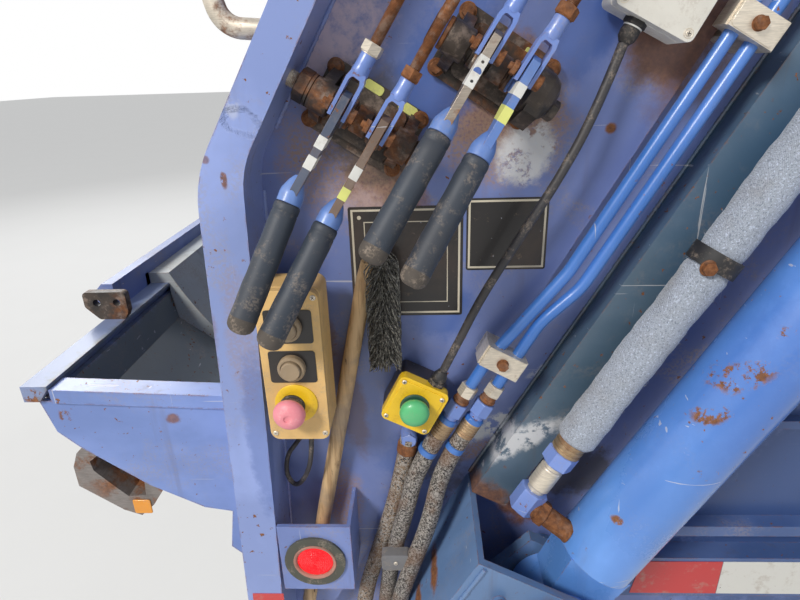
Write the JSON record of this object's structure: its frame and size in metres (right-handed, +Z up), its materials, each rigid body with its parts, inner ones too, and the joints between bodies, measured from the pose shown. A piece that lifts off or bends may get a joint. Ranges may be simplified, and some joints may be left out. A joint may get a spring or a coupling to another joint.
{
  "type": "rear loader garbage truck tailgate",
  "caption": "Rear-loading refuse truck tailgate with hopper, sliding packing carriage, sweep panel, control levers, push-button stations and tail lamp",
  "frame": {"origin": "centre of the right roof hinge bore", "axes": "+X forward to the truck body, +Y to the truck's left, +Z up"},
  "size_m": [2.364, 2.543, 2.5571],
  "materials": {
    "bar_steel": "stained",
    "black_rubber": "matte",
    "blue_paint": "worn satin",
    "bristle_fibre": "coarse",
    "cast_valve": "painted",
    "chromed_rod": "polished",
    "cream_plastic": "matte",
    "deep_blue_paint": "worn satin",
    "faded_red_plastic": "faded",
    "green_plastic": "satin",
    "grey_plastic": "matte",
    "grip_rubber": "matte",
    "handle_wood": "weathered",
    "hose_rubber": "matte, dusty",
    "lamp_red": "gloss",
    "packer_paint": "worn, greasy",
    "plated_steel": "zinc plated",
    "rusty_steel": "rusted",
    "sleeve_fabric": "woven",
    "station_plastic": "matte",
    "worn_steel": "polished by waste",
    "yellow_plastic": "matte"
  },
  "bodies": {
    "tailgate": {"broom_bristles": "bristle_fibre", "broom_handle": "handle_wood", "button_station": "station_plastic", "carriage_tracks": "deep_blue_paint", "container_ears": "rusty_steel", "cylinder_feet": "deep_blue_paint", "feed_hoses": "hose_rubber", "grab_handle": "blue_paint", "hinge_lugs": "blue_paint", "hood": "blue_paint", "hopper_floor": "worn_steel", "hose_bulkhead": "blue_paint", "junction_box": "cream_plastic", "lamp_brackets": "blue_paint", "lamp_cable": "black_rubber", "lamp_grommets": "black_rubber", "latch_bracket": "rusty_steel", "left_side_wall": "blue_paint", "lever_brackets": "rusty_steel", "line_fittings": "deep_blue_paint", "lock_lugs": "blue_paint", "packing_barrels": "deep_blue_paint", "raised_sill": "blue_paint", "rear_posts": "blue_paint", "rear_trough": "blue_paint", "right_side_wall": "blue_paint", "seam_frame": "blue_paint", "side_rails": "blue_paint", "sill_bumper": "black_rubber", "sleeve_clamp": "black_rubber", "sleeved_line": "sleeve_fabric", "start_box": "yellow_plastic", "start_button": "green_plastic", "station_buttons": "grey_plastic", "station_cable": "black_rubber", "steel_tubes": "deep_blue_paint", "stop_button": "faded_red_plastic", "tail_lamps": "lamp_red", "trough_sides": "blue_paint", "tube_clamps": "plated_steel", "valve_bank": "cast_valve"},
    "carriage": {"carriage_sides": "packer_paint", "carriage_panel": "packer_paint", "cylinder_anchors": "packer_paint", "packing_rods": "chromed_rod"},
    "sweep": {"sweep_panel": "packer_paint"},
    "sweep_cylinders": {"sweep_barrels": "packer_paint"},
    "sweep_rods": {"sweep_rods": "chromed_rod"},
    "lever_1": {"lever_1": "bar_steel", "lever_grip_1": "grip_rubber"},
    "link_rod_1": {"link_rod_1": "bar_steel"},
    "lever_2": {"lever_2": "bar_steel", "lever_grip_2": "grip_rubber"},
    "link_rod_2": {"link_rod_2": "bar_steel"},
    "lever_3": {"lever_3": "bar_steel", "lever_grip_3": "grip_rubber"},
    "link_rod_3": {"link_rod_3": "bar_steel"},
    "lever_4": {"lever_4": "bar_steel", "lever_grip_4": "grip_rubber"},
    "link_rod_4": {"link_rod_4": "bar_steel"}
  },
  "joints": [
    {"name": "carriage_slide", "type": "slide", "parent": "tailgate", "child": "carriage", "axis": [0.4856, 0, 0.8742], "range_m": [0, 0.8]},
    {"name": "sweep_hinge", "type": "hinge", "parent": "carriage", "child": "sweep", "pos_m": [-1.51007, 0.8, -1.60009], "axis": [0, 1, 0], "range_deg": [0, 100]},
    {"name": "sweep_cylinder_swing", "type": "hinge", "parent": "carriage", "child": "sweep_cylinders", "pos_m": [-1.19349, 0.8, -0.80361], "axis": [0, 1, 0], "range_deg": [0, 7.39]},
    {"name": "sweep_rod_slide", "type": "slide", "parent": "sweep_cylinders", "child": "sweep_rods", "axis": [-0.5016, 0, -0.8651], "range_m": [-0.3886, 0]},
    {"name": "lever_1_swing", "type": "hinge", "parent": "tailgate", "child": "lever_1", "pos_m": [-1.7554, -0.345, -1.5899], "axis": [0.8434, 0, -0.5373], "range_deg": [-10, 8], "stiffness_Nm_per_rad": 60},
    {"name": "link_rod_1_pin", "type": "hinge", "parent": "lever_1", "child": "link_rod_1", "pos_m": [-1.75271, -0.395, -1.58568], "axis": [0.8434, 0, -0.5373], "range_deg": [-8.5, 10.5]},
    {"name": "lever_2_swing", "type": "hinge", "parent": "tailgate", "child": "lever_2", "pos_m": [-1.71703, -0.345, -1.61435], "axis": [0.8434, 0, -0.5373], "range_deg": [-10, 8], "stiffness_Nm_per_rad": 60},
    {"name": "link_rod_2_pin", "type": "hinge", "parent": "lever_2", "child": "link_rod_2", "pos_m": [-1.71434, -0.395, -1.61013], "axis": [0.8434, 0, -0.5373], "range_deg": [-8.5, 10.5]},
    {"name": "lever_3_swing", "type": "hinge", "parent": "tailgate", "child": "lever_3", "pos_m": [-1.6057, -0.345, -1.53824], "axis": [0.8434, 0, -0.5373], "range_deg": [-10, 8], "stiffness_Nm_per_rad": 60},
    {"name": "link_rod_3_pin", "type": "hinge", "parent": "lever_3", "child": "link_rod_3", "pos_m": [-1.60301, -0.395, -1.53403], "axis": [0.8434, 0, -0.5373], "range_deg": [-8.5, 10.5]},
    {"name": "lever_4_swing", "type": "hinge", "parent": "tailgate", "child": "lever_4", "pos_m": [-1.56733, -0.345, -1.56269], "axis": [0.8434, 0, -0.5373], "range_deg": [-10, 8], "stiffness_Nm_per_rad": 60},
    {"name": "link_rod_4_pin", "type": "hinge", "parent": "lever_4", "child": "link_rod_4", "pos_m": [-1.56464, -0.395, -1.55847], "axis": [0.8434, 0, -0.5373], "range_deg": [-8.5, 10.5]}
  ],
  "couplings": [
    {"joint": "sweep_cylinder_swing", "follows": "sweep_hinge", "ratio": 0.0639},
    {"joint": "sweep_rod_slide", "follows": "sweep_hinge", "m_per_rad": -0.2215},
    {"joint": "link_rod_1_pin", "follows": "lever_1_swing", "ratio": -1},
    {"joint": "link_rod_2_pin", "follows": "lever_2_swing", "ratio": -1},
    {"joint": "link_rod_3_pin", "follows": "lever_3_swing", "ratio": -1},
    {"joint": "link_rod_4_pin", "follows": "lever_4_swing", "ratio": -1}
  ]
}
